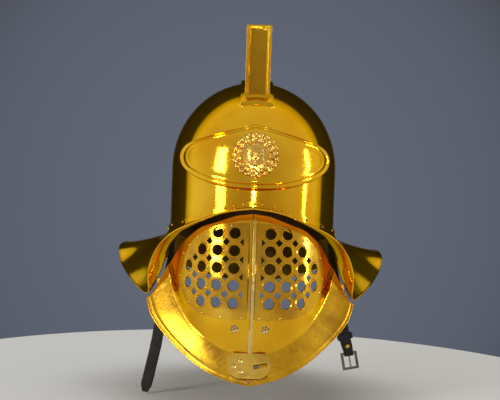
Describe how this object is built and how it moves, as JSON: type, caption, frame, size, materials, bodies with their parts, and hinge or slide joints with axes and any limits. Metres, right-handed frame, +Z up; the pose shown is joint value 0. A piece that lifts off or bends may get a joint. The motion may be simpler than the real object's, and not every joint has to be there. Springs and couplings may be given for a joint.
{
  "type": "murmillo helmet",
  "caption": "Brass murmillo gladiator helmet with a flared brim, tall box crest, brow plate, pierced hinged visor halves and leather chin straps.",
  "frame": {"origin": "inside of the crown, where the head carries the helmet", "axes": "+Z up, -Y out of the face, +X to the viewer's right"},
  "size_m": [0.338, 0.3351, 0.4455],
  "materials": {
    "brass": "polished",
    "cast_brass": "cast",
    "steel": "worn",
    "leather": "satin"
  },
  "bodies": {
    "helmet": {"bowl": "brass", "brim": "brass", "brow_plate": "brass", "medallion": "cast_brass", "crest": "brass", "hinge_bracket_left": "brass", "hinge_bracket_right": "brass", "strap_left": "leather", "strap_right": "leather", "strap_rivet_left": "brass", "strap_rivet_right": "brass", "keeper": "leather", "buckle_frame": "steel", "buckle_prong": "steel", "buckle_rivet": "brass"},
    "visor_left": {"visor_left": "brass", "grille_left": "brass", "hinge_leaf_left": "brass", "hasp_plate": "brass", "hasp_rivet_1": "brass", "hasp_rivet_2": "brass", "hasp_rivet_3": "brass"},
    "visor_right": {"visor_right": "brass", "grille_right": "brass", "hinge_leaf_right": "brass", "hasp_stud": "steel"}
  },
  "joints": [
    {"name": "left_visor_hinge", "type": "hinge", "parent": "helmet", "child": "visor_left", "pos_m": [-0.106, -0.081, -0.2706], "axis": [0, 0, -1], "range_deg": [0, 55]},
    {"name": "right_visor_hinge", "type": "hinge", "parent": "helmet", "child": "visor_right", "pos_m": [0.106, -0.081, -0.2706], "axis": [0, 0, 1], "range_deg": [0, 55]}
  ],
  "couplings": [
    {"joint": "right_visor_hinge", "follows": "left_visor_hinge", "ratio": 1}
  ]
}
